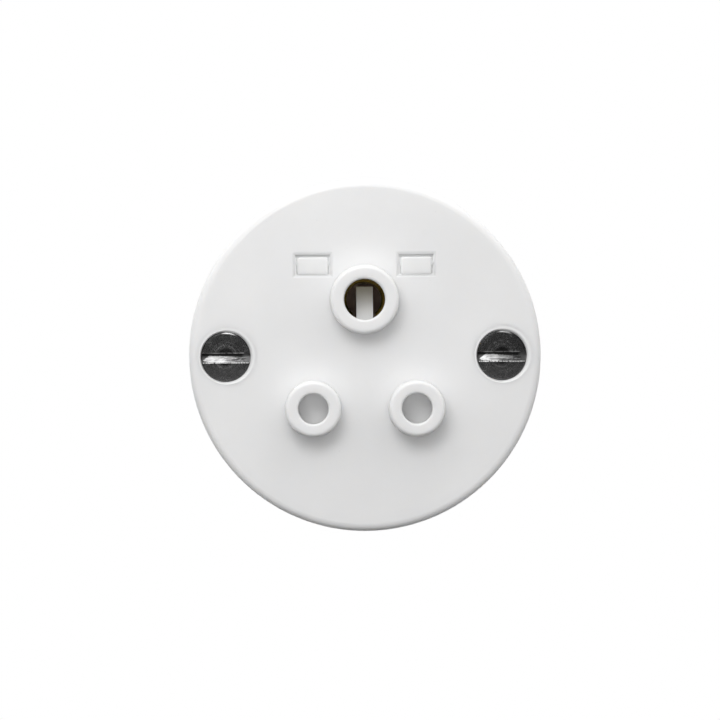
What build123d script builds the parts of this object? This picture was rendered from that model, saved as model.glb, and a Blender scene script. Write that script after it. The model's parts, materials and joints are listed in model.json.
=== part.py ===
from build123d import *

import os
from math import sqrt

# Round shuttered socket outlet for three round pins, screwed over a round conduit box.
# Millimetres. X is to the right, Z is up, and the face looks towards -Y.
# The origin is the disc's axis in the mounting plane, where the rim meets the box.

# Drawing values
past = 1.0  # cuts run this far past the faces they open
same = 0.01  # places closer than this are one place
round_share = 0.5523  # a quarter round's control points lie this far towards its corner

# Plug pins and their pattern
earth_pin_d = 7.06
earth_pin_reach = 20.6
line_pin_d = 5.08
pin_clear = 0.24
line_spacing = 19.05
earth_to_line = 22.225
pattern_lift = 0.23

# Round cover plate
plate_d = 64.7
rim_depth = 5.0
rim_wall = 2.0
rim_edge_r = 1.3
rim_inside_edge = 0.8
face_wall = 1.8
rib_t = 1.2
rib_h = 2.2
rib_angle = 42
rib_gap = 1.0

# Raised tubes round the pin holes
shroud_h = 5.0
earth_shroud_wall = 2.6
line_shroud_wall = 2.42
shroud_draft = 0.09
shroud_edge_r = 0.62
shroud_mouth_r = 0.42
shroud_foot_r = 0.12

# Windows in the face for the snap arms
window_spacing = 19.05
window_z = 16.67
window_w = 6.43
window_h = 3.73
window_bevel_w = 0.5
window_bevel_depth = 0.14
ledge_h = 0.5
ledge_depth = 1.0

# Fixing screws and their holes
fixing_pitch = 50.8
screw_d = 4.0
screw_length = 20.0
screw_hole_clear = 0.5
screw_tip_chamfer = 0.7
screw_neck_d = 3.4
head_d = 9.1
head_h = 1.6
head_clear = 0.325
head_below_face = 0.35
head_edge = 0.25
slot_w = 1.7
slot_depth = 0.9
slot_shift_z = -0.27
screw_shift_x = -0.22
screw_shift_z = -0.18
boss_wall = 1.6
well_edge_r = 0.45
washer_d = 7.2
washer_t = 0.6
washer_lift = 0.1
washer_to_neck = 0.15
washer_recess_depth = 0.8
washer_recess_clear = 0.6

# Shutter
shutter_t = 1.2
slide_gap = 0.15
tongue_w = 3.06
tongue_tip_above = 2.4
tongue_ramp_depth = 4.8
tongue_tip_t = 1.0
tongue_foot = 2.4
pin_pass_gap = 0.27
blade_below_hole = 0.1
blade_overlap = 0.7
blade_side = 1.0
blade_corner_r = 1.5
bar_h = 4.2
stem_w = 6.0
lug_w = 3.8
lug_t = 1.8
slot_clear = 0.3

# Shutter spring
spring_d = 4.0
spring_wire = 0.4
spring_turns = 6
spring_flats = 5
spring_seat_t = 0.5
spring_play = 0.05
spigot_d = 2.0
spigot_len = 1.5

# Contact carrier behind the face
carrier_to_rim = 3.35
carrier_to_boss = 0.7
carrier_wall = 1.6
carrier_corner_r = 2.5
carrier_least_r = 0.5
floor_t = 1.1
floor_hole_clear = 0.3
pin_end_gap = 0.4
partition_t = 1.2
cross_wall_z = 4.8
guide_t = 1.2
arm_w = 5.7
arm_t = 1.3
arm_top_gap = 0.46
arm_corner_r = 0.5
arm_edge_r = 0.3
arm_fit = 0.08
arm_room = 0.5
shoulder_depth = 0.4
shoulder_fit = 0.1
pip_r = 0.6
pip_to_window = 0.06
pip_rise = 0.25
pip_below_face = 0.1
arm_root_t = 1.6
arm_root_y = 7.0
hook_x = 7.0
hook_w = 4.0
hook_t = 1.2
hook_reach = 1.6
catch_t = 1.2
catch_fit = 0.15
catch_narrow = 0.2

# Contacts
contact_t = 0.8
earth_grip = 0.29
line_grip = 0.2
earth_sleeve_len = 9.0
line_sleeve_len = 6.5
earth_sleeve_shift = -0.15
earth_split_clear = 0.6
line_split = 1.6
sleeve_lead_in = 0.3
tail_w = 5.0
tail_margin = 0.5

# Terminals
block_w = 6.5
block_l = 6.5
block_depth = 8.4
block_edge = 0.3
earth_block_gap = 1.6
line_block_to_wall = 0.2
wire_d = 3.4
wire_least = 0.8
wire_wall = 2.2
wire_mouth = 0.3
rivet_d = 2.6
rivet_clear = 0.05
terminal_screw_d = 3.0
terminal_screw_clear = 0.05
terminal_screw_lift = 0.2
terminal_head_d = 5.2
terminal_head_h = 2.0
terminal_head_gap = 0.4
terminal_slot_w = 0.9
terminal_slot_depth = 0.9
terminal_edge = 0.3
wire_entry_w = 4.6

# Rear cover
rear_t = 1.5
rear_edge = 0.4
lip_t = 1.0
lip_h = 0.8
lip_fit = 0.15
well_clear = 0.5
well_wall = 1.2
well_h = 1.2
rear_screw_x = 12.5
rear_screw_z = 0.8
rear_screw_d = 2.6
rear_screw_length = 8.0
rear_screw_clear = 0.05
rear_screw_end_gap = 0.2
rear_head_d = 5.2
rear_slot_w = 0.7
rear_slot_depth = 0.6
rear_boss_wall = 1.5

# Places worked out from the sizes above
plate_r = plate_d / 2
pattern_h = sqrt(earth_to_line**2 - (line_spacing / 2) ** 2)
earth_z = pattern_lift + pattern_h / 2
line_z = earth_z - pattern_h
earth_hole_r = earth_pin_d / 2 + pin_clear
line_hole_r = line_pin_d / 2 + pin_clear
line_places = ((line_spacing / 2, "line"), (-line_spacing / 2, "neutral"))
side_places = ((1, "right"), (-1, "left"))

face_y = -rim_depth
wall_y = face_y + face_wall
tube_y = face_y - shroud_h
shutter_y = wall_y + slide_gap
shutter_back_y = shutter_y + shutter_t
floor_y = shutter_back_y + slide_gap
floor_back_y = floor_y + floor_t
carrier_back_y = tube_y + earth_pin_reach + pin_end_gap
inner_edge_y = carrier_back_y - lip_h - lip_fit

head_top_y = face_y + head_below_face
head_seat_y = head_top_y + head_h
counterbore_r = head_d / 2 + head_clear
boss_r = counterbore_r + boss_wall

shutter_travel = tongue_tip_above + earth_pin_d / 2 + pin_pass_gap
blade_top = line_z + shutter_travel - line_hole_r - blade_below_hole
blade_bottom = line_z - line_hole_r - blade_overlap
blade_x = line_spacing / 2 + line_hole_r + blade_side
lug_top = blade_bottom + lug_t
spring_y = shutter_back_y + spring_d / 2 + slot_clear

carrier_r = plate_r - rim_wall - carrier_to_rim
carrier_x = fixing_pitch / 2 - boss_r - carrier_to_boss
spring_seat_z = -(carrier_r - carrier_wall) + spring_seat_t
channel_x = spring_d / 2 + slot_clear

window_top = window_z + window_h / 2
window_bottom = window_z - window_h / 2
arm_top = window_top - arm_top_gap
arm_bottom = arm_top - arm_t

earth_sleeve_r = earth_pin_d / 2 - earth_grip
line_sleeve_r = line_pin_d / 2 - line_grip
block_y = floor_back_y + contact_t
block_back_y = block_y + block_depth
wire_y = block_y + wire_wall + wire_d / 2
earth_block_z = earth_z + earth_sleeve_r + contact_t + earth_block_gap + block_l / 2
line_block_side = line_spacing / 2 + block_w / 2 + line_block_to_wall
line_block_low = -sqrt((carrier_r - carrier_wall) ** 2 - line_block_side**2) + line_block_to_wall
line_block_z = line_block_low + block_l / 2
terminal_tip_y = wire_y + wire_d / 2 + terminal_screw_lift
terminal_screw_travel = wire_d + terminal_screw_lift - wire_least
terminal_seat_y = block_back_y + terminal_head_gap + terminal_screw_travel
terminals = (
    ("earth", 0.0, earth_block_z, 1),
    ("line", line_spacing / 2, line_block_z, -1),
    ("neutral", -line_spacing / 2, line_block_z, -1),
)


def upright(y):
    """The drawing plane at depth y, seen from the front: right is +X, up is +Z."""
    return Plane(origin=(0, y, 0), x_dir=(1, 0, 0), z_dir=(0, -1, 0))


def slab(shape, front_y, back_y):
    """A flat shape drawn on the face, given its depth from front_y back to back_y."""
    return extrude(upright(back_y) * shape, amount=back_y - front_y)


def block(x0, x1, y0, y1, z0, z1):
    """A box between two values on each axis."""
    centre = Pos((x0 + x1) / 2, (y0 + y1) / 2, (z0 + z1) / 2)
    return centre * Box(x1 - x0, y1 - y0, z1 - z0)


def disc(x, z, r):
    """A circle drawn on the face at (x, z)."""
    return Pos(x, z) * Circle(r)


def panel(x0, x1, z0, z1):
    """A rectangle drawn on the face between two corners."""
    return Pos((x0 + x1) / 2, (z0 + z1) / 2) * Rectangle(x1 - x0, z1 - z0)


def rim_edge(solid, y, r):
    """The round edges of radius r that lie in the plane at depth y."""
    rings = solid.edges().filter_by(GeomType.CIRCLE)
    return [e for e in rings if abs(e.center().Y - y) < same and abs(e.radius - r) < same]


def quarter_round(start, corner, end):
    """A rounded corner drawn as one smooth curve from start to end."""
    a, b, c = Vector(*start), Vector(*corner), Vector(*end)
    return Bezier(a, a + (b - a) * round_share, c + (b - c) * round_share, c)


def turned(outline):
    """A round solid turned from half its outline of (radius, height), with height towards -Y."""
    return Rot(90, 0, 0) * revolve(make_face(Plane.XZ * Wire(outline)), Axis.Z)


def shroud(x, z, hole_r, wall):
    """A tapered tube turned from its profile, with a rounded mouth, outer edge and foot."""
    foot_r = hole_r + wall
    top_r = foot_r - shroud_draft
    mouth_h = shroud_h - shroud_mouth_r
    edge_h = shroud_h - shroud_edge_r
    sunk = -face_wall / 2
    tube = turned(
        [
            Line((hole_r, sunk), (hole_r, mouth_h)),
            quarter_round((hole_r, mouth_h), (hole_r, shroud_h), (hole_r + shroud_mouth_r, shroud_h)),
            Line((hole_r + shroud_mouth_r, shroud_h), (top_r - shroud_edge_r, shroud_h)),
            quarter_round((top_r - shroud_edge_r, shroud_h), (top_r, shroud_h), (top_r, edge_h)),
            Line((top_r, edge_h), (foot_r, shroud_foot_r)),
            quarter_round((foot_r, shroud_foot_r), (foot_r, 0), (foot_r + shroud_foot_r, 0)),
            Line((foot_r + shroud_foot_r, 0), (foot_r + shroud_foot_r, sunk)),
            Line((foot_r + shroud_foot_r, sunk), (hole_r, sunk)),
        ]
    )
    return Pos(x, face_y, z) * tube


def dish():
    """The cover's round shell, turned from its profile: a flat face, a rounded edge and a rim."""
    inside_r = plate_r - rim_wall
    hollow_h = rim_depth - face_wall
    flat_r = plate_r - rim_edge_r
    edge_h = rim_depth - rim_edge_r
    return turned(
        [
            Line((0, rim_depth), (flat_r, rim_depth)),
            quarter_round((flat_r, rim_depth), (plate_r, rim_depth), (plate_r, edge_h)),
            Line((plate_r, edge_h), (plate_r, 0)),
            Line((plate_r, 0), (inside_r, 0)),
            Line((inside_r, 0), (inside_r, hollow_h - rim_inside_edge)),
            Line((inside_r, hollow_h - rim_inside_edge), (inside_r - rim_inside_edge, hollow_h)),
            Line((inside_r - rim_inside_edge, hollow_h), (0, hollow_h)),
            Line((0, hollow_h), (0, rim_depth)),
        ]
    )


def screw_well():
    """The room for a fixing screw's head, turned from its profile, with a rounded mouth."""
    mouth_r = counterbore_r + well_edge_r
    front_h = rim_depth + past
    edge_h = rim_depth - well_edge_r
    return turned(
        [
            Line((0, front_h), (mouth_r, front_h)),
            Line((mouth_r, front_h), (mouth_r, rim_depth)),
            quarter_round((mouth_r, rim_depth), (counterbore_r, rim_depth), (counterbore_r, edge_h)),
            Line((counterbore_r, edge_h), (counterbore_r, -head_seat_y)),
            Line((counterbore_r, -head_seat_y), (0, -head_seat_y)),
            Line((0, -head_seat_y), (0, front_h)),
        ]
    )


def cover_plate():
    """The round white moulding: a shallow dish with tubes, screw wells and windows."""
    body = dish()

    # Radial ribs stiffen the face between the carrier and the rim
    rib_start, rib_end = carrier_r + rib_gap, plate_r - rim_wall / 2
    rib = block(-rib_t / 2, rib_t / 2, wall_y, wall_y + rib_h, rib_start, rib_end)
    for side in (1, -1):
        for angle in (rib_angle, 180 - rib_angle):
            body += Rot(0, side * angle, 0) * rib

    # Bosses carry the screw heads, with a well in front and a washer recess behind
    for side, _ in side_places:
        x = side * fixing_pitch / 2
        body += slab(disc(x, 0, boss_r), wall_y, 0)
        body -= Pos(x, 0, 0) * screw_well()
        body -= slab(disc(x, 0, screw_d / 2 + screw_hole_clear), face_y, past)
        body -= slab(disc(x, 0, washer_d / 2 + washer_recess_clear), -washer_recess_depth, past)

    body -= slab(disc(0, earth_z, earth_hole_r), face_y - past, past)
    body += shroud(0, earth_z, earth_hole_r, earth_shroud_wall)
    for x, _ in line_places:
        body -= slab(disc(x, line_z, line_hole_r), face_y - past, past)
        body += shroud(x, line_z, line_hole_r, line_shroud_wall)

    # Stepped windows: the arm's barb rests on the ledge at the foot of each
    for side, _ in side_places:
        x = side * window_spacing / 2
        left, right = x - window_w / 2, x + window_w / 2
        body -= slab(panel(left, right, window_bottom, window_top), face_y - past, face_y + ledge_depth)
        body -= slab(panel(left, right, window_bottom + ledge_h, window_top), face_y - past, past)
        edges = [
            e
            for e in body.edges().filter_by(GeomType.LINE)
            if abs(e.center().Y - face_y) < same and abs(e.center().X - x) < window_w / 2 + same
        ]
        front = body.faces().filter_by(lambda f: abs(f.center().Y - face_y) < same).sort_by(SortBy.AREA)[-1]
        body = chamfer(edges, window_bevel_w, window_bevel_depth, reference=front)

    # Catches at the foot hold the carrier's two hooks
    hook_back_y = floor_y + hook_t - catch_fit
    foot_z = carrier_r + hook_reach + catch_fit
    for side, _ in side_places:
        left = side * hook_x - hook_w / 2 + catch_narrow
        right = side * hook_x + hook_w / 2 - catch_narrow
        lip_front = hook_back_y + catch_fit
        lip_top = -(carrier_r + catch_fit)
        body += block(left, right, wall_y, lip_front + catch_t, -foot_z - catch_t, -foot_z)
        body += block(left, right, lip_front, lip_front + catch_t, -foot_z - catch_t, lip_top)
    return body


def carrier_outline(inset):
    """A circle cut off straight on both sides, so that it passes between the box's lugs."""
    r = carrier_r - inset
    x = carrier_x - inset
    outline = Circle(r) & Rectangle(2 * x, 2 * r)
    return fillet(outline.vertices(), max(carrier_corner_r - inset, carrier_least_r))


def snap_arm(x):
    """A long arm from a shelf at the back, whose head fills the window and hooks on its ledge.

    The head's front stands on a shoulder that closes the window, and has a pip at each side.
    """
    half = arm_w / 2
    head_sketch = panel(x - half, x + half, window_bottom + arm_fit, arm_top)
    head = slab(head_sketch, face_y, face_y + ledge_depth - arm_fit)
    top_corners = [e for e in head.edges().filter_by(Axis.Y) if abs(e.center().Z - arm_top) < same]
    head = fillet(top_corners, arm_corner_r)
    head_edges = [e for e in head.edges() if abs(e.center().Y - face_y) < same and e.center().Z > window_z]
    head = fillet(head_edges, arm_edge_r)
    side = window_w / 2 - shoulder_fit
    shoulder = panel(x - side, x + side, window_bottom + arm_fit, window_top - shoulder_fit)
    head += slab(shoulder, face_y + shoulder_depth, face_y + ledge_depth - arm_fit)
    pip_x = window_w / 2 - pip_to_window - pip_r
    for pip_side in (1, -1):
        pip = disc(x + pip_side * pip_x, window_z + pip_rise, pip_r)
        head += slab(pip, face_y + pip_below_face, face_y + shoulder_depth)
    neck_bottom = window_bottom + ledge_h + arm_fit
    neck_y = face_y + ledge_depth - arm_fit
    shoulder_z = arm_top - arm_corner_r
    neck = block(x - half, x + half, neck_y, wall_y, neck_bottom, shoulder_z)
    neck += block(x - half + arm_corner_r, x + half - arm_corner_r, neck_y, wall_y, neck_bottom, arm_top)
    beam_front, beam_back = wall_y - face_wall / 2, arm_root_y + arm_root_t
    beam = block(x - half, x + half, beam_front, beam_back, arm_bottom, shoulder_z)
    shelf = block(x - half, x + half, arm_root_y, beam_back, arm_bottom, carrier_r)
    shelf &= slab(carrier_outline(carrier_wall / 2), face_y, carrier_back_y)
    return head + neck + beam + shelf


def contact_carrier():
    """The white rear moulding: a tub open to the back, with the shutter's track in front."""
    outside = slab(carrier_outline(0), wall_y, carrier_back_y)
    body = outside - slab(carrier_outline(carrier_wall), wall_y - past, floor_y)
    body -= slab(carrier_outline(carrier_wall), floor_back_y, carrier_back_y + past)

    # Walls part the three contacts and make the spring's channel between line and neutral
    inner_r = carrier_r - carrier_wall / 2
    cross_low, cross_high = cross_wall_z - partition_t / 2, cross_wall_z + partition_t / 2
    walls = block(-carrier_x, carrier_x, floor_back_y, inner_edge_y, cross_low, cross_high)
    for side in (1, -1):
        near, far = sorted((side * channel_x, side * (channel_x + partition_t)))
        walls += block(near, far, floor_back_y, inner_edge_y, -inner_r, cross_wall_z)
    trough_y = spring_y + spring_d / 2 + slot_clear
    walls += block(-channel_x, channel_x, trough_y, trough_y + partition_t, -inner_r, lug_top)
    walls += block(-channel_x, channel_x, floor_y, trough_y, -inner_r, spring_seat_z)

    # Pockets hold the terminal blocks against turning
    rail = block_w / 2 + catch_fit
    for _, x, z, _ in terminals:
        for side in (1, -1):
            near, far = sorted((x + side * rail, x + side * (rail + partition_t)))
            walls += block(near, far, floor_back_y, wire_y, z - block_l / 2, z + block_l / 2)

    # Bosses take the two screws of the rear cover
    for side, _ in side_places:
        boss = disc(side * rear_screw_x, rear_screw_z, rear_screw_d / 2 + rear_boss_wall)
        walls += slab(boss, floor_back_y, carrier_back_y)
    body += walls & slab(carrier_outline(carrier_wall / 2), floor_y, carrier_back_y)

    # Ribs in front of the floor guide the shutter's two edges
    guide_x = blade_x + slot_clear
    for side in (1, -1):
        near, far = sorted((side * guide_x, side * (guide_x + guide_t)))
        rib = block(near, far, wall_y + slide_gap, floor_y, blade_bottom - shutter_travel, blade_top)
        body += rib & slab(carrier_outline(carrier_wall / 2), wall_y, floor_y)

    # Ways through for the pins, the cam tongue and the spring lug
    body -= slab(disc(0, earth_z, earth_hole_r + floor_hole_clear), floor_y - past, floor_back_y)
    for x, _ in line_places:
        body -= slab(disc(x, line_z, line_hole_r + floor_hole_clear), floor_y - past, floor_back_y)
    tongue_x = tongue_w / 2 + slot_clear
    tongue_low = earth_z - earth_hole_r - tongue_foot - shutter_travel - slot_clear
    tongue_back = shutter_y + tongue_ramp_depth + tongue_tip_t + slot_clear
    body -= block(-tongue_x, tongue_x, floor_y - past, tongue_back, tongue_low, earth_z)
    body -= block(-channel_x, channel_x, floor_y - past, floor_back_y, spring_seat_z, lug_top + slot_clear)

    # Screw pilots, wire entries and room for the arms to flex
    for side, _ in side_places:
        pilot = disc(side * rear_screw_x, rear_screw_z, rear_screw_d / 2 + rear_screw_clear)
        body -= slab(pilot, carrier_back_y - rear_screw_length, carrier_back_y)
        x = side * window_spacing / 2
        half = arm_w / 2 + arm_room
        body -= block(x - half, x + half, wall_y, floor_back_y, arm_bottom - arm_room, arm_top + arm_room)
    for _, x, z, out in terminals:
        low, high = sorted((z, out * (carrier_r + past)))
        body -= block(x - wire_entry_w / 2, x + wire_entry_w / 2, wire_y, carrier_back_y, low, high)
        middle = Pos(x, wire_y, (low + high) / 2)
        body -= middle * Cylinder(wire_entry_w / 2, high - low)

    # The spring's peg, the two hooks at the foot and the two snap arms
    seat = Pos(0, spring_y, spring_seat_z + spigot_len / 2 - spring_seat_t / 2)
    body += seat * Cylinder(spigot_d / 2, spigot_len + spring_seat_t)
    for side, _ in side_places:
        x = side * hook_x
        hook_y = floor_y - catch_fit
        hook = block(x - hook_w / 2, x + hook_w / 2, hook_y, hook_y + hook_t, -(carrier_r + hook_reach), 0)
        body += hook - slab(carrier_outline(carrier_wall / 2), wall_y, carrier_back_y)
        body += snap_arm(side * window_spacing / 2)
    return body


def rear_cover():
    """The flat dark brown back, with a locating lip and a well round each terminal screw."""
    plate = slab(carrier_outline(0), carrier_back_y, carrier_back_y + rear_t)
    back_edges = [e for e in plate.edges() if abs(e.center().Y - carrier_back_y - rear_t) < same]
    plate = chamfer(back_edges, rear_edge)
    lip = carrier_outline(carrier_wall + lip_fit) - carrier_outline(carrier_wall + lip_fit + lip_t)
    plate += slab(lip, carrier_back_y - lip_h, carrier_back_y)
    well_r = terminal_head_d / 2 + well_clear
    for _, x, z, _ in terminals:
        plate += slab(disc(x, z, well_r + well_wall), carrier_back_y, carrier_back_y + rear_t + well_h)
    for _, x, z, _ in terminals:
        plate -= slab(disc(x, z, well_r), carrier_back_y - past, carrier_back_y + rear_t + well_h + past)
    for side, _ in side_places:
        plate -= rear_screw_form(side, rear_screw_clear)
    return plate


def rear_screw_form(side, clear):
    """A countersunk screw's outline, grown by a clearance to make its hole."""
    top_y = carrier_back_y + rear_t
    head_r = rear_head_d / 2 + clear
    shank_r = rear_screw_d / 2 + clear
    cone_h = head_r - shank_r
    head = Cone(head_r, shank_r, cone_h)
    length = rear_screw_length - cone_h - rear_screw_end_gap
    form = Pos(0, 0, cone_h / 2) * head + Pos(0, 0, cone_h + length / 2) * Cylinder(shank_r, length)
    return Pos(side * rear_screw_x, top_y, rear_screw_z) * Rot(90, 0, 0) * form


def rear_cover_screw(side):
    """A small countersunk screw with a straight slot."""
    top_y = carrier_back_y + rear_t
    x = side * rear_screw_x
    half = rear_slot_w / 2
    slot = block(x - half, x + half, top_y - rear_slot_depth, top_y + past, -carrier_r, carrier_r)
    return rear_screw_form(side, 0) - slot


def shutter_slider():
    """One white moulding: two blades over line and neutral, and the tongue the earth pin pushes."""
    bar = panel(-blade_x, blade_x, blade_top - bar_h, blade_top)
    plate = bar + panel(-stem_w / 2, stem_w / 2, blade_bottom, earth_z - earth_hole_r - tongue_foot / 2)
    for x, _ in line_places:
        half = line_hole_r + blade_side
        plate += panel(x - half, x + half, blade_bottom, blade_top)
    corners = [v for v in plate.vertices() if abs(abs(v.X) - blade_x) < same]
    plate = fillet(corners, blade_corner_r)
    body = slab(plate, shutter_y, shutter_back_y)

    # The tongue's front is a ramp, near at its foot and deep at its tip
    foot_z = earth_z - earth_hole_r - slide_gap
    tip_z = earth_z + tongue_tip_above
    tip_y = shutter_y + tongue_ramp_depth
    back_y = tip_y + tongue_tip_t
    low_z = foot_z - tongue_foot
    side_view = Plane(origin=(-tongue_w / 2, 0, 0), x_dir=(0, 1, 0), z_dir=(1, 0, 0))
    ramp = make_face(
        Polyline(
            (shutter_y, low_z),
            (shutter_y, foot_z),
            (tip_y, tip_z),
            (back_y, tip_z),
            (back_y, foot_z),
            close=True,
        )
    )
    body += extrude(side_view * ramp, amount=tongue_w)

    # A lug behind the plate carries the top of the spring
    lug_back = spring_y + spring_d / 2
    body += block(-lug_w / 2, lug_w / 2, shutter_back_y, lug_back, blade_bottom, lug_top)
    body += Pos(0, spring_y, blade_bottom - spigot_len / 2) * Cylinder(spigot_d / 2, spigot_len)
    return body


def shutter_spring():
    """A compression spring between the carrier's seat and the lug, its wire drawn with a few flats."""
    wire_r = spring_wire / 2
    low = spring_seat_z + wire_r + spring_play
    high = blade_bottom - wire_r - spring_play
    coil = Helix((high - low) / spring_turns, high - low, spring_d / 2 - wire_r)
    section = Plane(origin=coil @ 0, z_dir=coil % 0) * RegularPolygon(wire_r, spring_flats)
    return Pos(0, spring_y, low) * sweep(section, path=coil, is_frenet=True)


def contact(x, z, inner_r, length, split, block_x, block_z, out):
    """A split brass sleeve with a tail bent flat along the carrier's floor to its terminal."""
    outer_r = inner_r + contact_t
    back_y = floor_back_y + length
    sleeve = slab(disc(x, z, outer_r) - disc(x, z, inner_r), floor_back_y, back_y)
    sleeve = chamfer(rim_edge(sleeve, floor_back_y, inner_r), sleeve_lead_in)
    low, high = sorted((z, z - out * 2 * outer_r))
    sleeve -= block(x - split / 2, x + split / 2, floor_back_y - past, back_y + past, low, high)
    low, high = sorted((z + out * (inner_r + sleeve_lead_in), block_z + out * (block_l / 2 - tail_margin)))
    tail = block(block_x - tail_w / 2, block_x + tail_w / 2, floor_back_y, block_y, low, high)
    tail -= slab(disc(block_x, block_z, rivet_d / 2 + rivet_clear), face_y, block_y)
    return sleeve + tail


def terminal(x, z, out):
    """A brass block with a wire bore, a tapped hole and a stub riveted through the contact's tail."""
    left, right = x - block_w / 2, x + block_w / 2
    body = block(left, right, block_y, block_back_y, z - block_l / 2, z + block_l / 2)
    body = chamfer(body.edges().filter_by(Axis.Y), block_edge)
    body += slab(disc(x, z, rivet_d / 2), floor_back_y, block_y)
    body -= Pos(x, wire_y, z) * Cylinder(wire_d / 2, block_l + past)
    mouth_z = z + out * block_l / 2
    mouth = [e for e in body.edges().filter_by(GeomType.CIRCLE) if abs(e.center().Z - mouth_z) < same]
    body = chamfer(mouth, wire_mouth)
    tapped = disc(x, z, terminal_screw_d / 2 + terminal_screw_clear)
    return body - slab(tapped, wire_y, block_back_y + past)


def slotted_screw(x, z, seat_y, towards, shank_r, length, tip, head_r, head_t, edge, slot_size, slot_shift=0):
    """A cheese-headed screw with its head's seat at seat_y and its shank running towards +Y or -Y."""
    slot_width, slot_deep = slot_size
    head = Pos(0, 0, head_t / 2) * Cylinder(head_r, head_t)
    head = chamfer(head.edges().filter_by(GeomType.CIRCLE).sort_by(Axis.Z)[-1], edge)
    shank = Pos(0, 0, -length / 2) * Cylinder(shank_r, length)
    shank = chamfer(shank.edges().filter_by(GeomType.CIRCLE).sort_by(Axis.Z)[0], tip)
    slot = Pos(0, slot_shift, head_t) * Box(3 * head_r, slot_width, 2 * slot_deep)
    return Pos(x, seat_y, z) * Rot(towards * 90, 0, 0) * (head + shank - slot)


def fixing_screw(side):
    """One of the two slotted screws that hold the outlet on its box, with a neck inside the cover."""
    x = side * fixing_pitch / 2 + screw_shift_x
    screw = slotted_screw(
        x,
        screw_shift_z,
        head_seat_y,
        1,
        screw_d / 2,
        screw_length,
        screw_tip_chamfer,
        head_d / 2,
        head_h,
        head_edge,
        (slot_w, slot_depth),
        slot_shift_z,
    )
    waist = disc(x, screw_shift_z, screw_d) - disc(x, screw_shift_z, screw_neck_d / 2)
    return screw - slab(waist, head_seat_y, 0)


def terminal_screw(x, z):
    """A terminal screw, backed out so that its wire bore is open."""
    return slotted_screw(
        x,
        z,
        terminal_seat_y,
        -1,
        terminal_screw_d / 2,
        terminal_seat_y - terminal_tip_y,
        terminal_edge,
        terminal_head_d / 2,
        terminal_head_h,
        terminal_edge,
        (terminal_slot_w, terminal_slot_depth),
    )


def retaining_washer(side):
    """A thin ring on the screw's shank that keeps it in the cover when the outlet is off its box."""
    x = side * fixing_pitch / 2 + screw_shift_x
    bore_r = screw_neck_d / 2 + washer_to_neck
    ring = disc(x, screw_shift_z, washer_d / 2) - disc(x, screw_shift_z, bore_r)
    front_y = -washer_recess_depth + washer_lift
    return slab(ring, front_y, front_y + washer_t)


def build():
    """Every piece of the outlet by name."""
    pieces = {
        "cover_plate": cover_plate(),
        "contact_carrier": contact_carrier(),
        "rear_cover": rear_cover(),
        "shutter_slider": shutter_slider(),
        "shutter_spring": shutter_spring(),
    }
    pieces["earth_contact"] = contact(
        earth_sleeve_shift,
        earth_z,
        earth_sleeve_r,
        earth_sleeve_len,
        tongue_w + 2 * earth_split_clear,
        0,
        earth_block_z,
        1,
    )
    for x, name in line_places:
        pieces[f"{name}_contact"] = contact(
            x,
            line_z,
            line_sleeve_r,
            line_sleeve_len,
            line_split,
            x,
            line_block_z,
            -1,
        )
    for name, x, z, out in terminals:
        pieces[f"{name}_terminal"] = terminal(x, z, out)
        pieces[f"{name}_terminal_screw"] = terminal_screw(x, z)
    for side, name in side_places:
        pieces[f"fixing_screw_{name}"] = fixing_screw(side)
        pieces[f"retaining_washer_{name}"] = retaining_washer(side)
        pieces[f"rear_cover_screw_{name}"] = rear_cover_screw(side)
    return pieces


os.makedirs("parts", exist_ok=True)
for node, shape in build().items():
    shape.label = node
    export_step(shape, f"parts/{node}.step")
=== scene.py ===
import json
import math

import bmesh
import bpy
import numpy as np
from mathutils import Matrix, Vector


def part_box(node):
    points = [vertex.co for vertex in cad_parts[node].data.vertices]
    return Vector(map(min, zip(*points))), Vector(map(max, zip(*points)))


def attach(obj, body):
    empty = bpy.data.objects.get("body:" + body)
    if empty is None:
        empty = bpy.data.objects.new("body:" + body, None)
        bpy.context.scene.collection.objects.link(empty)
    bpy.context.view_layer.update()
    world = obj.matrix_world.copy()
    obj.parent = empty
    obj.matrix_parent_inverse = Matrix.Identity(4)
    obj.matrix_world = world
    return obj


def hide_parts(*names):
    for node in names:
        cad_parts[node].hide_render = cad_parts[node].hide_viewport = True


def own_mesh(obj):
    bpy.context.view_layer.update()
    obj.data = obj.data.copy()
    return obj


# The round socket outlet's looks: finishes for its mouldings, screws, spring and brass,
# turned screws and a wound spring in place of the plain ones, the wells' lips and the windows' seals,
# and the light and camera. Metres, with X to the right, Z up and the face towards -Y.

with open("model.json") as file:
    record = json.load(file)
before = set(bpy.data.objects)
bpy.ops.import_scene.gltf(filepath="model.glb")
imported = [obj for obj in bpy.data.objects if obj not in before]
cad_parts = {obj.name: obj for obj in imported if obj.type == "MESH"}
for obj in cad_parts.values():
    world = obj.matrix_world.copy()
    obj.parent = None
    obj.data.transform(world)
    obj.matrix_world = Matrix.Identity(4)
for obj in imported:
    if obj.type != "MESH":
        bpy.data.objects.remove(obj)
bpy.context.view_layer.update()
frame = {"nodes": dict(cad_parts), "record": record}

MM = 0.001

# Fixing screws: the head's height and edge, the slot, the neck and tip, and the turned marks' radii
HEAD_H = 1.6 * MM
HEAD_EDGE = 0.25 * MM
SLOT_W = 1.7 * MM
SLOT_DEEP = 0.9 * MM
SLOT_DOWN = 0.27 * MM
SLOT_TILT_DEG = 11
SLOT_CROWN_R = 29 * MM
NECK_R = 1.7 * MM
TIP = 0.6 * MM
DOME_R = 2.1 * MM
GROOVE_R = 2.75 * MM

# Threads: outer radius, root radius, pitch, and rings of points in one pitch
FIXING_THREAD = (2.0 * MM, 1.64 * MM, 0.7 * MM, 12)
TERMINAL_THREAD = (1.5 * MM, 1.22 * MM, 0.5 * MM, 12)

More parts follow.
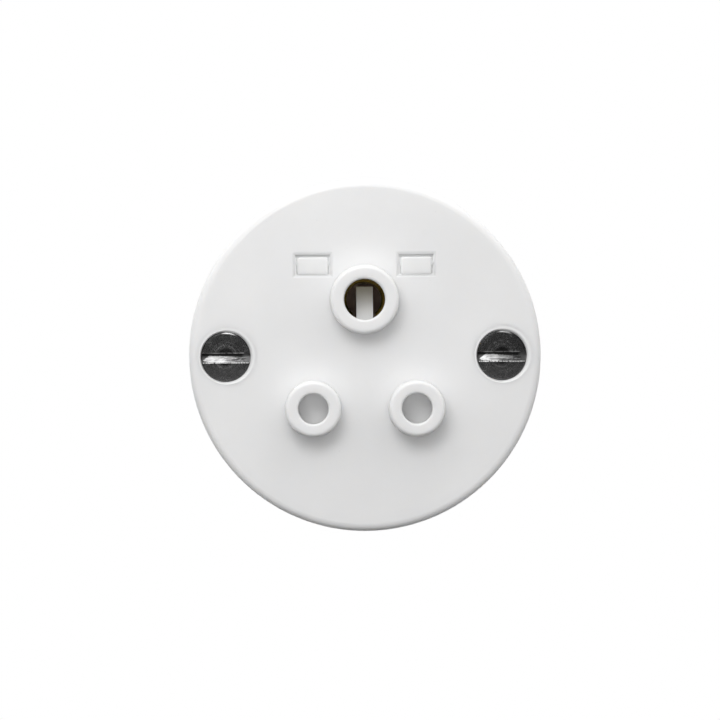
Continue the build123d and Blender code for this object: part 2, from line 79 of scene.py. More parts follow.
# Terminal screws: the head's height and edge, the slot as a fixing screw's, and the neck
TERMINAL_HEAD = (2.0 * MM, 0.3 * MM)
TERMINAL_SLOT = (0.9 * MM, 0.9 * MM, 0.0, 0.0, 1.0)
TERMINAL_NECK = (1.25 * MM, 2.3 * MM, 0.3 * MM)

# The shutter's spring: its axis, its radius, its wire's radius, and its live and dead turns
SPRING_AXIS = (0.0, 0.45 * MM)
SPRING_R = 2.0 * MM
SPRING_WIRE_R = 0.2 * MM
SPRING_TURNS = 6
SPRING_DEAD_TURNS = 1.0

# The screws' wells: their centres, the face round them, and their lips' radii, clearance and depths
WELL_X = {"left": -25.4 * MM, "right": 25.4 * MM}
FACE_Y = -5.0 * MM
LIP_OUTER_R = 5.3 * MM
LIP_R = 5.02 * MM
LIP_SHIFT = np.array([0.0, -0.2]) * MM
LIP_CLEAR = 0.03 * MM
LIP_PROUD = 0.003 * MM
LIP_DROP = 0.58 * MM
LIP_BACK = 1.2 * MM

# The windows above the earth tube, and the seal that closes the gap round each snap arm's head
WINDOW_X = {"left": -9.525 * MM, "right": 9.525 * MM}
WINDOW_Z = 16.67 * MM
WINDOW_SIZE = np.array([6.43, 3.73]) * MM
ARM_TOP = 18.075 * MM
ARM_STEP = 0.4 * MM
SEAL_OUT = 0.06 * MM
SEAL_IN = 0.16 * MM
SEAL_FRONT = 0.405 * MM
SEAL_FRONT_LOW = 0.12 * MM
SEAL_BACK = 0.9 * MM

# The earth hole's height, and the round patch behind it on the rear cover's inside, painted paler as painted
# light
EARTH_HEIGHT = 10.27 * MM
PATCH_R = 5 * MM
PATCH_PAINTED_LIGHT = (0.85, 0.6, 0.47)

# Drawing marks on brass run along its depth
DRAWN = (1, 0.14, 1)

# The white of the cover, which the lips share
WHITE = (0.87, 0.87, 0.87)

# The shutter's colour from its blades up to the tip of its tongue: painted light, paler towards the tongue's
# tip, and yellowed there as a painted reflection of the brass beside it
SHUTTER_PAINTED_LIGHT = [
    (-6 * MM, WHITE),
    (6 * MM, (0.96, 0.965, 0.97)),
    (9.5 * MM, (0.98, 0.965, 0.92)),
    (13.5 * MM, (1.0, 0.93, 0.74)),
]

# Camera: the photograph's scale, and the disc's centre in it
IMAGE_PX = 720
PX_PER_MM = 5.438
DISC_PX = (364.95, 355.2)
ROLL_DEG = 0.37
CAMERA_DISTANCE = 1.6
SENSOR = 36.0

# The floor, well below the outlet
FLOOR_HALF = 3.0
FLOOR_Z = -0.25

# Light: the dome's level at the side, what it gains overhead, loses below, gains ahead and gains to the
# left, the room's level in front for mirror rays, and the one soft lamp
DOME_LEVEL = 0.66
DOME_ABOVE = 0.56
DOME_BELOW = 0.7
DOME_AHEAD = 1.3
DOME_LEFT = 0.04
MIRROR_FRONT = 0.05
KEY_PLACE = (-0.042, -0.222, 0.117)
KEY_AIM = (0.0, -0.005, 0.0)
KEY_SIZE = 0.11
KEY_WATTS = 0.185


class Value:
    """A number that varies over a surface: a socket whose operators add Math nodes."""

    def __init__(self, finish, socket):
        self.finish = finish
        self.socket = socket

    def math(self, operation, *others):
        node = self.finish.node("ShaderNodeMath", {"operation": operation})
        for slot, item in zip(node.inputs, (self, *others)):
            self.finish.feed(slot, item)
        return Value(self.finish, node.outputs[0])

    def __add__(self, other):
        return self.math("ADD", other)

    __radd__ = __add__

    def __mul__(self, other):
        return self.math("MULTIPLY", other)

    __rmul__ = __mul__

    def __sub__(self, other):
        return self.math("SUBTRACT", other)

    def __rsub__(self, other):
        return (self * -1.0) + other

    def __truediv__(self, other):
        return self.math("DIVIDE", other)

    def __rtruediv__(self, other):
        return (self ** -1.0) * other

    def __pow__(self, other):
        return self.math("POWER", other)

    def __neg__(self):
        return self * -1.0

    def __abs__(self):
        return self.math("ABSOLUTE")

    def sine(self):
        return self.math("SINE")

    def at_most(self, other):
        return self.math("MINIMUM", other)

    def at_least(self, other):
        return self.math("MAXIMUM", other)

    def step(self, low, high):
        """0 below low and 1 above high, smooth between them; it falls if low is above high."""
        up = low < high
        node = self.finish.node(
            "ShaderNodeMapRange",
            {"interpolation_type": "SMOOTHSTEP", "clamp": True},
            {
                "Value": self,
                "From Min": min(low, high),
                "From Max": max(low, high),
                "To Min": 0.0 if up else 1.0,
                "To Max": 1.0 if up else 0.0,
            },
        )
        return Value(self.finish, node.outputs["Result"])


class Finish:
    """One material, built node by node."""

    def __init__(self, name, tree=None):
        if tree is None:
            self.material = bpy.data.materials.new(name)
            self.material.use_nodes = True
            tree = self.material.node_tree
        self.tree = tree
        self.tree.nodes.clear()
        self._place = None

    def feed(self, slot, item):
        """Gives a node's socket a value, or links it to a Value or another socket."""
        if isinstance(item, Value):
            item = item.socket
        if isinstance(item, bpy.types.NodeSocket):
            self.tree.links.new(item, slot)
        elif isinstance(item, (tuple, list)) and len(item) == 3 and len(slot.default_value) == 4:
            slot.default_value = (*item, 1.0)
        else:
            slot.default_value = item

    def node(self, kind, settings=None, sockets=None):
        """Adds a node of this kind: its settings first, then its sockets' values or links."""
        made = self.tree.nodes.new(kind)
        for key, value in (settings or {}).items():
            if key == "stops":
                self.stops(made.color_ramp, value)
            else:
                setattr(made, key, value)
        for key, item in (sockets or {}).items():
            self.feed(made.inputs[key], item)
        return made

    @staticmethod
    def stops(ramp, stops):
        """Sets a colour ramp's stops from (place, colour) pairs."""
        while len(ramp.elements) < len(stops):
            ramp.elements.new(0.5)
        for element, (place, colour) in zip(ramp.elements, stops):
            element.position = place
            element.color = (*colour, 1.0)

    def value(self, node, output=0):
        return Value(self, node.outputs[output])

    @property
    def place(self):
        """The point on the object, in metres."""
        if self._place is None:
            self._place = self.node("ShaderNodeTexCoord").outputs["Object"]
        return self._place

    def axes(self, point=None):
        """The three numbers of a point."""
        split = self.node("ShaderNodeSeparateXYZ", {}, {"Vector": point or self.place})
        return tuple(self.value(split, i) for i in range(3))

    def scaled(self, scale, point=None):
        """A point stretched by (x, y, z)."""
        node = self.node(
            "ShaderNodeVectorMath", {"operation": "MULTIPLY"}, {0: point or self.place, 1: tuple(scale)}
        )
        return node.outputs[0]

    def noise(self, size, detail=3.0, rough=0.55, point=None):
        """Soft noise from 0 to 1 whose features are about size metres across."""
        sockets = {"Vector": point or self.place, "Scale": 1.0 / size, "Detail": detail, "Roughness": rough}
        return self.value(self.node("ShaderNodeTexNoise", {"noise_dimensions": "3D"}, sockets), "Fac")

    def mix(self, share, first, second):
        """A colour between first and second."""
        settings = {"data_type": "RGBA", "clamp_factor": True}
        return self.node("ShaderNodeMix", settings, {0: share, 6: first, 7: second}).outputs[2]

    def bump(self, height, depth):
        """A normal raised by a height from 0 to 1 times depth metres."""
        sockets = {"Height": height, "Distance": depth, "Strength": 1.0}
        return self.node("ShaderNodeBump", {}, sockets).outputs["Normal"]

    def surface(self, sockets):
        """The material's shader and output."""
        shader = self.node("ShaderNodeBsdfPrincipled", {}, sockets)
        self.node("ShaderNodeOutputMaterial", {}, {"Surface": shader.outputs[0]})
        return self.material


def moulded(name, colour, rough, through=0.8, heights=None, painted_shade_ledge=None):
    """A moulded white plastic: faint clouds of tone, a fine skin, stray specks, and light let through.

    Heights, if given, are (height, colour) pairs of painted light that the colour passes through from low to
    high. A painted shade ledge is the height that a step painted grey as shade starts at, its depth, and how
    much of the colour is left there.
    """
    f = Finish(name)
    clouds = f.noise(14 * MM, 4)
    skin = f.noise(0.45 * MM, 3)
    flow = f.noise(5 * MM, 2, point=f.scaled((1, 1, 0.25)))
    specks = f.noise(0.9 * MM, 2).step(0.74, 0.82)
    tone = f.mix(clouds.step(0.3, 0.7), tuple(c * 0.975 for c in colour), colour)
    tone = f.mix(specks * 0.35, tone, tuple(c * 0.72 for c in colour))
    # Painted light: the colour follows the heights' pairs from low to high
    if heights:
        low, high = heights[0][0], heights[-1][0]
        stops = [((height - low) / (high - low), shade) for height, shade in heights]
        share = (f.axes()[2] - low) / (high - low)
        painted_light_tint = f.node("ShaderNodeValToRGB", {"stops": stops}, {"Fac": share}).outputs["Color"]
        tone = f.mix(clouds * 0.05, painted_light_tint, tone)
    # Painted shade: a grey band on the step above the given height and at the given depth
    if painted_shade_ledge:
        start, depth, left = painted_shade_ledge
        _, y, z = f.axes()
        near = y.step(depth - 0.1 * MM, depth - 0.05 * MM) * y.step(depth + 0.1 * MM, depth + 0.05 * MM)
        above = z.step(start - 0.05 * MM, start)
        tone = f.mix(near * above, tone, tuple(c * left for c in colour))
    return f.surface(
        {
            "Base Color": tone,
            "Roughness": rough + (clouds - 0.5) * 0.1 + (skin - 0.5) * 0.06,
            "IOR": 1.5,
            "Subsurface Weight": through,
            "Subsurface Radius": (1.0, 0.97, 0.93),
            "Subsurface Scale": 1.2 * MM,
            "Normal": f.bump(skin * 0.6 + flow * 0.4, 0.004 * MM),
        }
    )


def phenolic(name, colour, painted_light_pool=None):
    """A dark pressed moulding with a mottled filler, which may carry a paler patch of painted light at the
    bottom of a round pocket.

    The patch is its colour, the height of its axis, its radius and the depth that it ends at.
    """
    f = Finish(name)
    filler = f.noise(0.35 * MM, 5, 0.7)
    clouds = f.noise(6 * MM, 3)
    tone = f.mix(filler.step(0.35, 0.7), tuple(c * 0.7 for c in colour), tuple(c * 1.5 for c in colour))
    tone = f.mix(clouds * 0.4, tone, colour)
    # Painted light: the patch is painted paler than the moulding round it
    if painted_light_pool:
        shade, height, radius, depth = painted_light_pool
        x, y, z = f.axes()
        away = (x * x + (z - height) * (z - height)) ** 0.5
        inside = away.step(radius, radius - 0.5 * MM) * y.step(depth, depth - 0.2 * MM)
        tone = f.mix(inside, tone, shade)
    return f.surface(
        {
            "Base Color": tone,
            "Roughness": 0.36 + filler * 0.14,
            "IOR": 1.6,
            "Normal": f.bump(filler * 0.5 + clouds * 0.5, 0.01 * MM),
        }
    )


def metal(name, bright, dull, rough, drawn=(1, 1, 1)):
    """A metal with drawing marks along one axis and patches of tarnish."""
    f = Finish(name)
    lines = f.noise(0.4 * MM, 4, 0.6, point=f.scaled(drawn))
    patches = f.noise(2.2 * MM, 4, 0.6)
    tone = f.mix(patches.step(0.4, 0.75) * 0.5, bright, dull)
    tone = f.mix(lines.step(0.3, 0.8) * 0.35, tone, dull)
    return f.surface(
        {
            "Base Color": tone,
            "Metallic": 1.0,
            "Roughness": rough + patches * 0.14 + (lines - 0.5) * 0.12,
            "Normal": f.bump(lines, 0.012 * MM),
        }
    )


def head_metal(name, node):
    """The dark turned metal of a fixing screw, nearly black in its middle, with a painted sheen that lightens
    it towards its bottom and a painted highlight on its rim. The slot's floor and lower lip are bright,
    partly wear and partly painted light.
    """
    low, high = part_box(node)
    middle = (low + high) / 2
    head_r = (high.x - low.x) / 2
    f = Finish(name)
    x, y, z = f.axes()
    across = x - middle.x
    up = z - middle.z
    radius = (across * across + up * up) ** 0.5
    grit = f.noise(0.16 * MM, 5, 0.7)
    mottle = f.noise(0.8 * MM, 4, 0.6)
    specks = f.noise(0.22 * MM, 2).step(0.5, 0.7) * f.noise(1.7 * MM, 2).step(0.5, 0.62)
    dark = f.mix(grit.step(0.4, 0.66), (0.018, 0.018, 0.018), (0.13, 0.13, 0.13))
    dark = f.mix(mottle.step(0.5, 0.8) * 0.5, dark, (0.12, 0.12, 0.12))
    dark = f.mix(specks, dark, (0.26, 0.26, 0.26))
    # Painted sheen: the head is painted lighter towards its bottom
    dark = f.mix(up.step(-0.5 * MM, -3.0 * MM) * mottle * 0.5, dark, (0.2, 0.2, 0.2))
    head = y.step(low.y + HEAD_H, low.y + HEAD_H - 0.1 * MM)
    tone = f.mix(head * radius.step(1.75 * MM, 1.35 * MM) * 0.8, dark, (0.012, 0.012, 0.012))
    rings = abs(radius - DOME_R).step(0.2 * MM, 0.02 * MM)
    rings = rings.at_least(abs(radius - GROOVE_R).step(0.2 * MM, 0.02 * MM) * 0.8) * head
    tone = f.mix(rings * mottle.step(0.35, 0.65) * 0.35, tone, (0.24, 0.24, 0.24))
    turning = (radius * (2 * math.pi / (0.26 * MM)) + mottle * 3.0).sine() * 0.5 + 0.5
    # Painted highlight: a bright arc on the top of the head's rim
    rim = radius.step(head_r - 0.42 * MM, head_r - 0.1 * MM) * y.step(low.y + 0.5 * MM, low.y + 0.25 * MM)
    painted_glint = rim * up.step(0.0, 3.0 * MM) * across.step(-1.0 * MM, 0.2 * MM) * across.step(2.2 * MM, 1.0 * MM)
    tone = f.mix(painted_glint * mottle.step(0.3, 0.5), tone, (0.9, 0.9, 0.9))

    # The slot's floor is scored along its length and painted bright as if lit, partly wear and partly painted
    # light: bright on the left, tapering to a point there, greyer towards the right, and lighter grey at its
    # right end. Its upper side is painted dark as shade.
    rise = up + SLOT_DOWN
    half = SLOT_W / 2
    ragged = (f.noise(0.26 * MM, 3, 0.65, point=f.scaled((1, 1, 0.3))) - 0.5) * 0.5 * MM
    scored = f.noise(0.24 * MM, 4, 0.7, point=f.scaled((0.13, 1, 1)))
    inside = y.step(low.y + 0.3 * MM, low.y + 0.42 * MM) * (rise + half).step(-0.02 * MM, 0.06 * MM) * head
    brow = (0.46 * MM - (across + 0.7 * MM) * 0.07).at_most((across + 4.1 * MM) * 0.85 - 0.3 * MM)
    lit = (brow - rise + ragged * 0.9).step(-0.06 * MM, 0.12 * MM)
    lit = lit * (across + ragged * 2.0).step(4.1 * MM, 3.2 * MM)
    jag = (f.noise(0.3 * MM, 3, 0.6, point=f.scaled((1, 0, 0))) - 0.5) * 0.5 * MM
    sill = (-3.1 * MM - across).at_least(0.0) * 0.35 + 0.1 * MM
    lit = lit * (rise + half - sill + jag).step(-0.03 * MM, 0.06 * MM)
    streak = scored.step(0.4, 0.6)
    wear_and_sheen = streak * 0.75 + across.step(0.4 * MM, -1.2 * MM) * 0.45 - across.step(1.2 * MM, 3.6 * MM) * 0.12
    silver = f.mix(wear_and_sheen, (0.06, 0.06, 0.06), (0.5, 0.5, 0.5))
    tone = f.mix(inside, tone, (0.055, 0.055, 0.055))
    tone = f.mix(inside * across.step(2.8 * MM, 3.6 * MM) * 0.6, tone, (0.3, 0.3, 0.3))
    tone = f.mix(inside * lit, tone, silver)

    # Its upper lip has a fine burr, and its lower lip is torn and painted bright along it as a highlight
    burr = abs(rise - half - 0.12 * MM).step(0.11 * MM, 0.02 * MM) * f.noise(0.5 * MM, 3).step(0.3, 0.6)
    burr = burr * abs(across).step(3.6 * MM, 3.0 * MM) * head
    torn_lip_highlight = abs(rise + half - 0.03 * MM + ragged * 0.5).step(0.13 * MM, 0.03 * MM)
    torn_lip_highlight = torn_lip_highlight * f.noise(0.34 * MM, 2, point=f.scaled((1, 0, 0))).step(0.36, 0.56)
    tone = f.mix(burr * 0.5, tone, (0.3, 0.3, 0.3))
    torn_lip_highlight = torn_lip_highlight * radius.step(head_r - 0.05 * MM, head_r - 0.3 * MM) * head
    tone = f.mix(torn_lip_highlight, tone, (0.95, 0.95, 0.95))
    relief = turning * 0.1 + grit * 0.3 + rings * 0.25 + burr * 0.8 + torn_lip_highlight * 0.8 + inside * scored * 0.5
    return f.surface(
        {
            "Base Color": tone,
            "Metallic": 1.0,
            "Roughness": 0.3 + (grit - 0.5) * 0.22 + inside * 0.06,
            "Normal": f.bump(relief, 0.035 * MM),
        }
    )


def finishes():
    """Every finish, by the name of its slot or of the only piece that has it."""
    # Painted light: a paler patch on the rear cover's inside, behind the earth hole
    painted_light_pool = (PATCH_PAINTED_LIGHT, EARTH_HEIGHT, PATCH_R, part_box("rear_cover")[0].y + 1.1 * MM)
    # Painted shade: the band above each snap arm's head, on the step behind its window, is painted grey
    painted_shade_ledge = (ARM_TOP, FACE_Y + ARM_STEP, 0.8)
    made = {
        "face_white": moulded("FaceWhite", WHITE, 0.34),
        "well_lip": moulded("LipWhite", WHITE, 0.34, through=0.0),
        "housing_white": moulded("HousingWhite", (0.87, 0.87, 0.865), 0.4, painted_shade_ledge=painted_shade_ledge),
        "window_seal": moulded("SealWhite", (0.93, 0.93, 0.925), 0.4, through=0.0, painted_shade_ledge=painted_shade_ledge),
        "shutter_white": moulded("ShutterWhite", WHITE, 0.42, through=0.0, heights=SHUTTER_PAINTED_LIGHT),
        "rear_brown": phenolic("RearBrown", (0.04, 0.027, 0.02), painted_light_pool),
        # Painted shade: the contacts' brass is far darker than the terminals', for the shade inside the holes
        "contact_brass": metal("ContactBrass", (0.17, 0.115, 0.022), (0.05, 0.033, 0.01), 0.24, DRAWN),
        "terminal_brass": metal("TerminalBrass", (0.62, 0.44, 0.17), (0.3, 0.2, 0.08), 0.3, DRAWN),
        "terminal_screw_brass": metal("ScrewBrass", (0.6, 0.43, 0.17), (0.26, 0.18, 0.07), 0.32),
        "plated_steel": metal("PlatedSteel", (0.6, 0.6, 0.58), (0.3, 0.3, 0.3), 0.3),
        "spring_steel": metal("SpringSteel", (0.46, 0.46, 0.47), (0.2, 0.2, 0.21), 0.28),
        "washer_fibre": phenolic("WasherFibre", (0.3, 0.08, 0.045)),
    }
    for side in ("left", "right"):
        made[f"fixing_screw_{side}"] = head_metal(f"FixingScrew{side.title()}", f"fixing_screw_{side}")
    return made


def mesh_piece(name, points, faces, finish, crease_deg=32):
    """A named piece from points and faces, with coincident points joined and faces turned outwards."""
    mesh = bpy.data.meshes.new(name)
    mesh.from_pydata(points.tolist(), [], faces)
    work = bmesh.new()
    work.from_mesh(mesh)
    bmesh.ops.remove_doubles(work, verts=work.verts, dist=2e-7)
    bmesh.ops.dissolve_degenerate(work, edges=work.edges, dist=2e-7)
    bmesh.ops.recalc_face_normals(work, faces=work.faces)
    work.to_mesh(mesh)
    work.free()
    mesh.polygons.foreach_set("use_smooth", np.ones(len(mesh.polygons), bool))
    mesh.set_sharp_from_angle(angle=math.radians(crease_deg))
    mesh.materials.append(finish)
    piece = bpy.data.objects.new(name, mesh)
    bpy.context.scene.collection.objects.link(piece)
    return piece


def sheet_faces(rows, columns):
    """Quads between neighbouring points of a grid, whose columns close on themselves."""
    r = np.arange(rows - 1)[:, None]
    c = np.arange(columns)[None, :]
    n = (c + 1) % columns
    near, far = r * columns, (r + 1) * columns
    quads = np.stack([near + c, near + n, far + n, far + c], axis=-1)
    return quads.reshape(-1, 4).tolist()


def slotted_screw(name, finish, node, towards, head, slot, neck, thread):
    """A slotted cheese-head screw in a node's place, as one closed surface of rays round its axis.

    Along each ray the surface runs over the slot's floor to the slot's wall, at a radius of the wall's height
    over the sine of the ray's angle, up the wall, over the top, which falls off near the rim as a quarter
    circle, down the head's side, under it, and along the shank. The floor tilts across the slot and is
    crowned along it. The thread's radius is the root's plus a ridge, whose place in a turn is the fraction
    left by depth / pitch - angle / turn.
    """
    low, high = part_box(node)
    centre = ((low.x + high.x) / 2, (low.z + high.z) / 2)
    top_y, tip_y = (low.y, high.y) if towards > 0 else (high.y, low.y)
    length = abs(tip_y - top_y)
    head_r = (high.x - low.x) / 2
    head_t, edge = head
    slot_w, slot_deep, slot_down, tilt_deg, crown_r = slot
    neck_r, start, tip = neck
    major, root, pitch, per_turn = thread
    slot_rays, land_rays, gap = 12, 65, 0.002
    upper = math.asin((slot_w / 2 - slot_down) / head_r)
    lower = math.asin((slot_w / 2 + slot_down) / head_r)
    arcs = (
        (gap - lower, upper - gap, slot_rays),
        (upper, math.pi - upper, land_rays),
        (math.pi - upper + gap, math.pi + lower - gap, slot_rays),
        (math.pi + lower, 2 * math.pi - lower, land_rays),
    )
    angle = np.concatenate([np.linspace(*arc) for arc in arcs])
    in_slot = np.repeat([True, False, True, False], [arc[2] for arc in arcs])
    sine = np.sin(angle)
    wall = np.where(sine > 0, slot_w / 2 - slot_down, slot_w / 2 + slot_down)
    lip = np.minimum(wall / np.maximum(np.abs(sine), 1e-6), head_r)

    def top(r):
        """Depth of the head's top below its crown, at radius r."""
        fall = np.clip(r - (head_r - edge), 0, edge)
        return edge - np.sqrt(np.maximum(edge**2 - fall**2, 0))

    def floor(r):
        """Depth of the slot's floor: tilted so that its lower side stands nearer, and crowned along."""
        x, z = r * np.cos(angle), r * sine
        rise = (z + slot_down + slot_w / 2) * math.tan(math.radians(tilt_deg))
        return slot_deep - slot_w * math.tan(math.radians(tilt_deg)) + rise + x**2 / (2 * crown_r)

    rings = []

    def ring(radius, depth):
        rings.append((radius + 0 * lip, depth + 0 * lip))

    for share in (0.0, 0.2, 0.4, 0.6, 0.8, 0.9, 1.0):
        ring(lip * share, floor(lip * share))
    for share in (0.35, 0.7, 1.0):
        ring(lip, np.where(in_slot, floor(lip), floor(lip) + (top(lip) - floor(lip)) * share))
    flat = np.linspace(slot_w / 2, head_r - edge, 26)
    rounded = head_r - edge + edge * np.sin(np.linspace(0.2, math.pi / 2, 7))
    for r in np.concatenate([flat, rounded]):
        out = np.maximum(lip, r)
        ring(out, np.where(in_slot, floor(out), top(out)))
    ring(head_r, np.maximum(rings[-1][1], (slot_deep + head_t) / 2))
    ring(head_r, head_t)
    ring(neck_r, head_t)
    ring(neck_r, start)
    for d in np.arange(start, length - tip, pitch / per_turn)[1:]:
        ridge = np.clip(1.25 - np.abs(np.mod(d / pitch - angle / (2 * math.pi), 1.0) - 0.5) * 2.9, 0, 1)
        fade = min((d - start) / pitch, 1.0) * min((length - tip - d) / pitch, 1.0)
        ring(root + (major - root) * ridge * fade, d)
    ring(root, length - tip)
    ring(root - tip * 0.7, length)
    ring(0.0, length)
    r, d = np.array(rings).transpose(1, 0, 2)
    points = np.stack([centre[0] + r * np.cos(angle), top_y + towards * d, centre[1] + r * sine], axis=-1)
    return mesh_piece(name, points.reshape(-1, 3), sheet_faces(*r.shape), finish)


def well_lip(name, finish, node, centre_x):
    """The rounded lip of a screw's well: a ring level with the face, then a curve down to the screw's head.

    The mouth and the head are circles with different centres. Each ring of points lies a share of the way
    from the first to the second, and its depth grows with the square of that share.
    """
    low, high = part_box(node)
    head_r = (high.x - low.x) / 2 + LIP_CLEAR
    head = np.array([(low.x + high.x) / 2, (low.z + high.z) / 2])
    angle = np.linspace(0, 2 * math.pi, 128, endpoint=False)
    ray = np.stack([np.cos(angle), np.sin(angle)], axis=-1)
    well = np.array([centre_x, 0.0])
    outer = (well + LIP_OUTER_R * ray)[None]
    mouth = well + LIP_SHIFT + LIP_R * ray
    edge = head + head_r * ray
    share = np.linspace(0, 1, 15)
    lip = mouth + (edge - mouth) * share[:, None, None]
    rings = np.concatenate([outer, lip, edge[None], outer, outer])
    depth = np.concatenate([[0], LIP_DROP * share**2, [LIP_BACK, LIP_BACK, 0]])
    depth = depth[:, None] + 0 * rings[..., 0]
    points = np.stack([rings[..., 0], FACE_Y - LIP_PROUD + depth, rings[..., 1]], axis=-1)
    return mesh_piece(name, points.reshape(-1, 3), sheet_faces(*depth.shape), finish)


def window_seal(name, finish, centre_x):
    """The step behind a window's edge that a snap arm's head bears on.

    It is a rectangular bar carried round the window's outline: each line of its section is that outline,
    moved out or in by one distance and back by another. Its front rises along the sides to its bottom bar.
    """
    corner = np.array([(-1, -1), (1, -1), (1, 1), (-1, 1)])
    out = np.array([SEAL_OUT, -SEAL_IN, -SEAL_IN, SEAL_OUT, SEAL_OUT])
    rings = np.array([centre_x, WINDOW_Z]) + corner * (WINDOW_SIZE / 2 + out[:, None, None])
    front = np.where(corner[:, 1] < 0, SEAL_FRONT_LOW, SEAL_FRONT)
    depth = np.stack([front, front, 0 * front + SEAL_BACK, 0 * front + SEAL_BACK, front])
    points = np.stack([rings[..., 0], FACE_Y + depth, rings[..., 1]], axis=-1)
    return mesh_piece(name, points.reshape(-1, 3), sheet_faces(*depth.shape), finish)


def wound_spring(name, finish, axis, low, high, coil_r, wire_r, turns, dead):
    """A compression spring: a round wire carried along a helix that closes up at both ends.

    The height rises as turns go by, slowly over the dead turns at each end and evenly between them. Round
    each point of the path, the wire is a circle in the plane across it, and a point closes each end.
    """
    total = turns + 2 * dead
    steps = int(total * 40)
    wind = np.linspace(0, 1, steps + 1) * total
    seated = 2.15 * wire_r * dead
    rise = np.interp(wind, [0, dead, dead + turns, total], [0, seated, high - low - seated, high - low])
    soft = np.convolve(np.pad(rise, 12, mode="edge"), np.ones(25) / 25, mode="valid")
    soft = (soft - soft[0]) / (soft[-1] - soft[0]) * (high - low)
    turn = wind * 2 * math.pi
    path = np.stack([axis[0] + coil_r * np.cos(turn), axis[1] + coil_r * np.sin(turn), low + soft], axis=-1)
    ahead = np.gradient(path, axis=0)
    ahead /= np.linalg.norm(ahead, axis=1)[:, None]
    out = np.stack([np.cos(turn), np.sin(turn), np.zeros_like(turn)], axis=-1)
    over = np.cross(ahead, out)
    over /= np.linalg.norm(over, axis=1)[:, None]
    ring = np.linspace(0, 2 * math.pi, 14, endpoint=False)
    cosine, sine = np.cos(ring)[None, :, None], np.sin(ring)[None, :, None]
    tube = path[:, None] + wire_r * (cosine * out[:, None] + sine * over[:, None])
    start, end = (np.repeat(path[i : i + 1], ring.size, axis=0)[None] for i in (0, steps))
    points = np.concatenate([start, tube, end])
    return mesh_piece(name, points.reshape(-1, 3), sheet_faces(*points.shape[:2]), finish, crease_deg=50)


def dress_nodes(looks):
    """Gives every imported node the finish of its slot."""
    for row in frame["record"]["subparts"]:
        if row["material_slot"] in looks:
            mesh = frame["nodes"][row["node"]].data
            mesh.materials.clear()
            mesh.materials.append(looks[row["material_slot"]])


def make_fixing_screws(looks):
    """The two fixing screws, each with the lip of its well."""
    for side in ("left", "right"):
        node = f"fixing_screw_{side}"
        low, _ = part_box(node)
        piece = slotted_screw(
            f"{node}_turned",
            looks[node],
            node,
            1,
            (HEAD_H, HEAD_EDGE),
            (SLOT_W, SLOT_DEEP, SLOT_DOWN, SLOT_TILT_DEG, SLOT_CROWN_R),
            (NECK_R, -low.y, TIP),
            FIXING_THREAD,
        )
        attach(piece, "housing")
        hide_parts(node)
        lip = well_lip(f"well_lip_{side}", looks["well_lip"], node, WELL_X[side])
        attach(lip, "housing")


def make_window_seals(looks):
    """The seal of each window."""
    for side in ("left", "right"):
        seal = window_seal(f"window_seal_{side}", looks["window_seal"], WINDOW_X[side])
        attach(seal, "housing")


def make_terminal_screws(looks):
    """The three terminal screws."""
    for pin in ("earth", "line", "neutral"):
        node = f"{pin}_terminal_screw"
        piece = slotted_screw(
            f"{node}_turned",
            looks["terminal_screw_brass"],
            node,
            -1,
            TERMINAL_HEAD,
            TERMINAL_SLOT,
            TERMINAL_NECK,
            TERMINAL_THREAD,
        )
        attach(piece, f"{pin}_screw")
        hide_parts(node)


def make_spring(looks):
    """The shutter's spring, wound in the plain one's place and as long as it."""
    low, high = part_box("shutter_spring")
    piece = wound_spring(
        "shutter_spring_wound",
        looks["spring_steel"],
        SPRING_AXIS,
        low.z + SPRING_WIRE_R,
        high.z - SPRING_WIRE_R,
        SPRING_R - SPRING_WIRE_R,
        SPRING_WIRE_R,
        SPRING_TURNS,
        SPRING_DEAD_TURNS,
    )
    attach(piece, "housing")
    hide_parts("shutter_spring")
    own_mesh(piece)


def make_floor():
    """A pale floor well below the outlet. From above it looks white, and from below it is clear."""
    f = Finish("PaleFloor")
    grain = f.noise(30 * MM, 3)
    tone = f.mix(grain, (0.86, 0.86, 0.86), (0.9, 0.9, 0.9))
    plain = f.node("ShaderNodeBsdfDiffuse", {}, {"Color": tone})
    white = f.node("ShaderNodeEmission", {}, {"Color": (1.0, 1.0, 1.0), "Strength": 1.0})
    seen = f.value(f.node("ShaderNodeLightPath"), "Is Camera Ray") * 0.75
    pale = f.node("ShaderNodeMixShader", {}, {0: seen, 1: plain.outputs[0], 2: white.outputs[0]})
    clear = f.node("ShaderNodeBsdfTransparent")
    back = f.node("ShaderNodeNewGeometry").outputs["Backfacing"]
    choice = f.node("ShaderNodeMixShader", {}, {0: back, 1: pale.outputs[0], 2: clear.outputs[0]})
    f.node("ShaderNodeOutputMaterial", {}, {"Surface": choice.outputs[0]})
    mesh = bpy.data.meshes.new("floor")
    corners = [(x * FLOOR_HALF, y * FLOOR_HALF, FLOOR_Z) for x, y in ((-1, -1), (1, -1), (1, 1), (-1, 1))]
    mesh.from_pydata(corners, [], [(0, 1, 2, 3)])
    mesh.materials.append(f.material)
    floor = bpy.data.objects.new("floor", mesh)
    bpy.context.scene.collection.objects.link(floor)
    floor.visible_diffuse = False


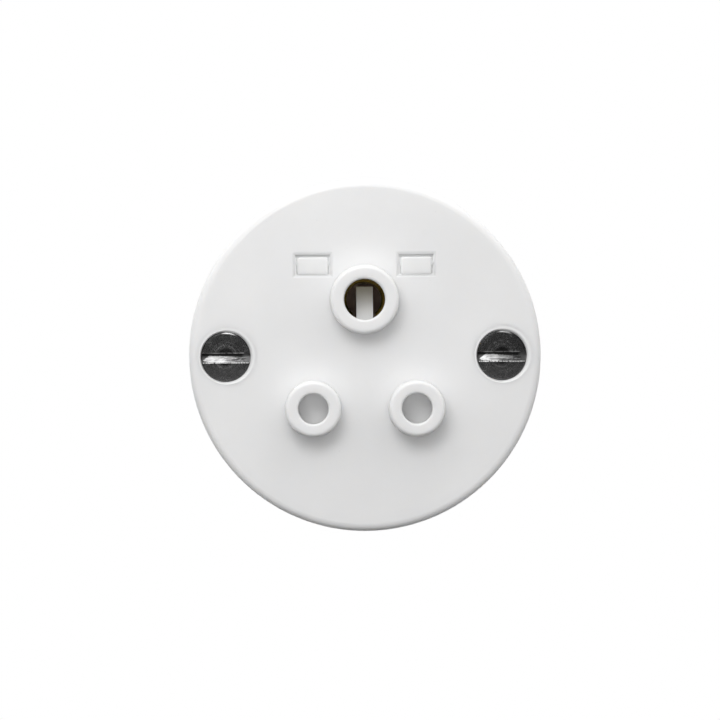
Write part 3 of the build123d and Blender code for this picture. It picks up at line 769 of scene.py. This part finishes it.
def make_world():
    """White behind the object, a dome of light, and a dim room in front for mirror rays."""
    world = bpy.data.worlds.new("Studio")
    bpy.context.scene.world = world
    world.use_nodes = True
    f = Finish("Studio", world.node_tree)
    way = f.node("ShaderNodeTexCoord").outputs["Generated"]
    x, y, z = f.axes(way)
    above = z.step(0.0, 0.9) * DOME_ABOVE
    below = z.step(0.05, -0.6) * DOME_BELOW
    ahead = (-(y * 0.98) - z * 0.2).step(0.94, 0.985) * DOME_AHEAD
    dome = (DOME_LEVEL + above - below + ahead - x * DOME_LEFT).at_least(0.0)
    room = MIRROR_FRONT + y.step(-0.75, 0.35) * (1.0 - MIRROR_FRONT) + z.step(0.25, 0.8) * 0.5
    rays = f.node("ShaderNodeLightPath")
    mirror = f.value(rays, "Is Glossy Ray").at_least(f.value(rays, "Is Transmission Ray"))
    level = dome + mirror * (room - dome)
    level = level + f.value(rays, "Is Camera Ray") * (1.0 - level)
    backdrop = f.node("ShaderNodeBackground", {}, {"Color": (1.0, 1.0, 1.0), "Strength": level})
    f.node("ShaderNodeOutputWorld", {}, {"Surface": backdrop.outputs[0]})


def make_lamp():
    """A square soft lamp above and in front, which faces the disc's middle."""
    lamp = bpy.data.lights.new("key", "AREA")
    lamp.shape = "SQUARE"
    lamp.size = KEY_SIZE
    lamp.energy = KEY_WATTS
    holder = bpy.data.objects.new("key", lamp)
    bpy.context.scene.collection.objects.link(holder)
    way = np.array(KEY_AIM) - np.array(KEY_PLACE)
    holder.location = KEY_PLACE
    pitch = math.atan2(math.hypot(way[0], way[1]), -way[2])
    holder.rotation_euler = (pitch, 0.0, math.atan2(-way[0], way[1]))


def make_camera():
    """A long lens straight in front, placed and rolled so that the disc lies where the photograph has it."""
    roll = math.radians(ROLL_DEG)
    right = (DISC_PX[0] - IMAGE_PX / 2) / PX_PER_MM * MM
    up = (IMAGE_PX / 2 - DISC_PX[1]) / PX_PER_MM * MM
    camera = bpy.data.cameras.new("camera")
    camera.sensor_width = SENSOR
    camera.lens = SENSOR * CAMERA_DISTANCE / (IMAGE_PX / PX_PER_MM * MM)
    camera.clip_start = 0.1
    camera.clip_end = 20.0
    holder = bpy.data.objects.new("camera", camera)
    bpy.context.scene.collection.objects.link(holder)
    side = -right * math.cos(roll) - up * math.sin(roll)
    lift = -up * math.cos(roll) + right * math.sin(roll)
    holder.location = (side, FACE_Y - CAMERA_DISTANCE, lift)
    holder.rotation_euler = (math.pi / 2, roll, 0.0)
    bpy.context.scene.camera = holder


looks = finishes()
dress_nodes(looks)
make_fixing_screws(looks)
make_window_seals(looks)
make_terminal_screws(looks)
make_spring(looks)
make_floor()
make_world()
make_lamp()
make_camera()

bpy.context.scene.view_settings.view_transform = "Standard"
